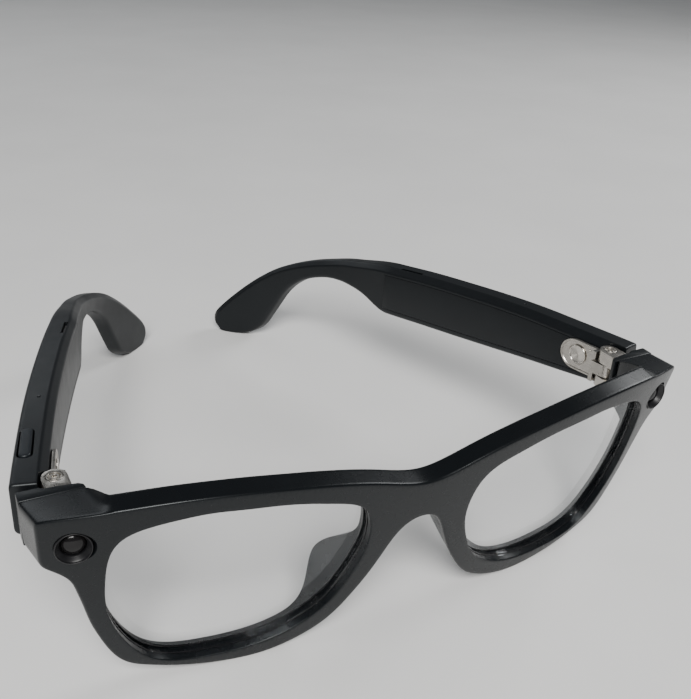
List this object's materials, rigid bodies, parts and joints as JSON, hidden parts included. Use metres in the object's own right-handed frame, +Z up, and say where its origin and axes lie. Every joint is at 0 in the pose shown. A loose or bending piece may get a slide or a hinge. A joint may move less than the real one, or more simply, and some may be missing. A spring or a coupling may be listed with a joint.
{
  "type": "smart glasses",
  "caption": "Thick-rimmed glasses with clear lenses, a camera and a capture light in the endpieces, a push button on one temple, and temples that fold on metal hinges.",
  "frame": {"origin": "centre of the footprint on the surface the glasses stand on, with the temples partly folded as stored", "axes": "+X towards the wearer's left, +Y from the lenses towards the ears, +Z up"},
  "size_m": [0.1446, 0.1516, 0.0487],
  "materials": {
    "front_plastic": "satin black moulded plastic",
    "temple_plastic": "satin charcoal moulded plastic",
    "inner_plastic": "satin blue-black moulded plastic",
    "button_plastic": "satin charcoal plastic",
    "lens_clear": "clear lens with a very slight grey tint",
    "window_black": "polished dark window",
    "ring_black": "dark satin bezel",
    "module_black": "black plastic",
    "mesh_black": "fine black mesh",
    "switch_grey": "grey plastic",
    "guide_clear": "frosted light guide",
    "board_green": "solder mask",
    "battery_grey": "pouch cell film",
    "flex_amber": "polyimide film",
    "contact_gold": "gold plated contact",
    "hinge_metal": "satin nickel",
    "screw_metal": "turned nickel"
  },
  "bodies": {
    "front": {"front_frame": "front_plastic", "lens_left": "lens_clear", "lens_right": "lens_clear", "brow_rear_strip": "front_plastic", "front_flex_cable": "flex_amber", "charging_contact_left": "contact_gold", "charging_contact_right": "contact_gold", "endpiece_cover_left": "front_plastic", "endpiece_cover_right": "front_plastic", "camera_ring": "ring_black", "camera_window": "window_black", "camera_module": "module_black", "camera_board": "board_green", "capture_light_ring": "ring_black", "capture_light_window": "window_black", "capture_light_guide": "guide_clear", "capture_light_board": "board_green", "hinge_front_leaf_left": "hinge_metal", "hinge_front_leaf_right": "hinge_metal", "hinge_screw_left": "screw_metal", "hinge_screw_right": "screw_metal"},
    "left_temple": {"temple_shell_left": "temple_plastic", "temple_inner_cover_left": "inner_plastic", "hinge_temple_plate_left": "hinge_metal", "hinge_disc_left": "screw_metal", "speaker_left": "module_black", "vent_mesh_left": "mesh_black", "battery_left": "battery_grey", "temple_board_left": "board_green", "microphone_left": "screw_metal"},
    "right_temple": {"temple_shell_right": "temple_plastic", "temple_inner_cover_right": "inner_plastic", "hinge_temple_plate_right": "hinge_metal", "hinge_disc_right": "screw_metal", "speaker_right": "module_black", "vent_mesh_right": "mesh_black", "battery_right": "battery_grey", "temple_board_right": "board_green", "microphone_right": "screw_metal", "touch_sensor_flex": "flex_amber", "button_switch": "switch_grey"},
    "button": {"capture_button": "button_plastic"}
  },
  "joints": [
    {"name": "left_temple_hinge", "type": "hinge", "parent": "front", "child": "left_temple", "pos_m": [0.06436, -0.05147, 0.04334], "axis": [0, 0, 1], "range_deg": [-14, 72]},
    {"name": "right_temple_hinge", "type": "hinge", "parent": "front", "child": "right_temple", "pos_m": [-0.06436, -0.05147, 0.04334], "axis": [0, 0, -1], "range_deg": [-14, 61]},
    {"name": "capture_button_press", "type": "slide", "parent": "right_temple", "child": "button", "axis": [0, 0, 1], "range_m": [-0.0004, 0], "stiffness_N_per_m": 1000, "springref_m": 0.0012}
  ]
}
